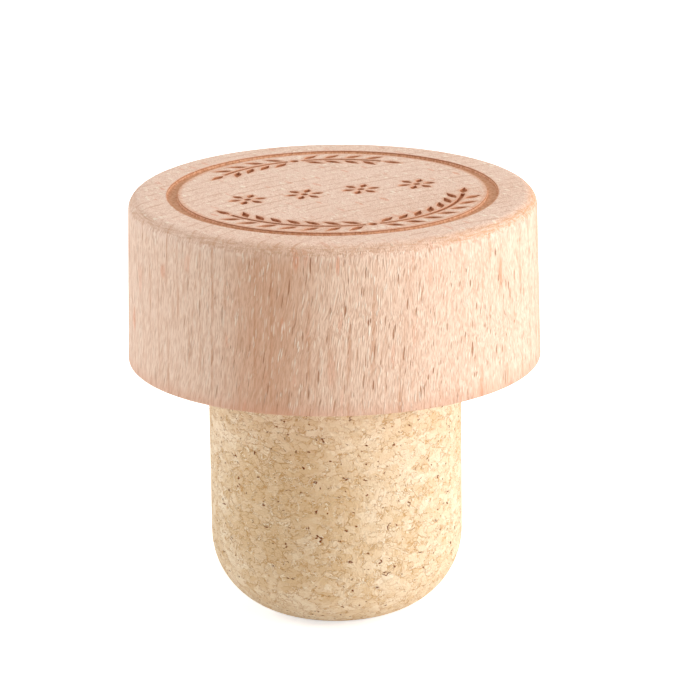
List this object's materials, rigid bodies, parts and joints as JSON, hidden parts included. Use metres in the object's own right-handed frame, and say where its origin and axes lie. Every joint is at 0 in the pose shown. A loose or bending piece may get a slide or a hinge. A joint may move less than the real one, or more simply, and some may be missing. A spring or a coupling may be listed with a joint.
{
  "type": "wine cork",
  "caption": "T-shaped bottle cork: a turned beech cap with an engraved ring and sprigs, glued to a round-tipped shank of agglomerated cork.",
  "frame": {"origin": "centre of the flat at the shank's tip, on the surface that the cork stands on", "axes": "+Z along the cork's axis, from the shank's tip up through the cap; -Y towards the front, where the longer sprig of the engraving is"},
  "size_m": [0.0322, 0.0322, 0.0336],
  "materials": {
    "beech": "turned and sanded, without oil or varnish; the engraving is scorched brown",
    "agglomerated_cork": "moulded from fine cork granules and ground round, matt"
  },
  "bodies": {
    "root": {"cap": "beech", "cork_shank": "agglomerated_cork"}
  },
  "joints": []
}
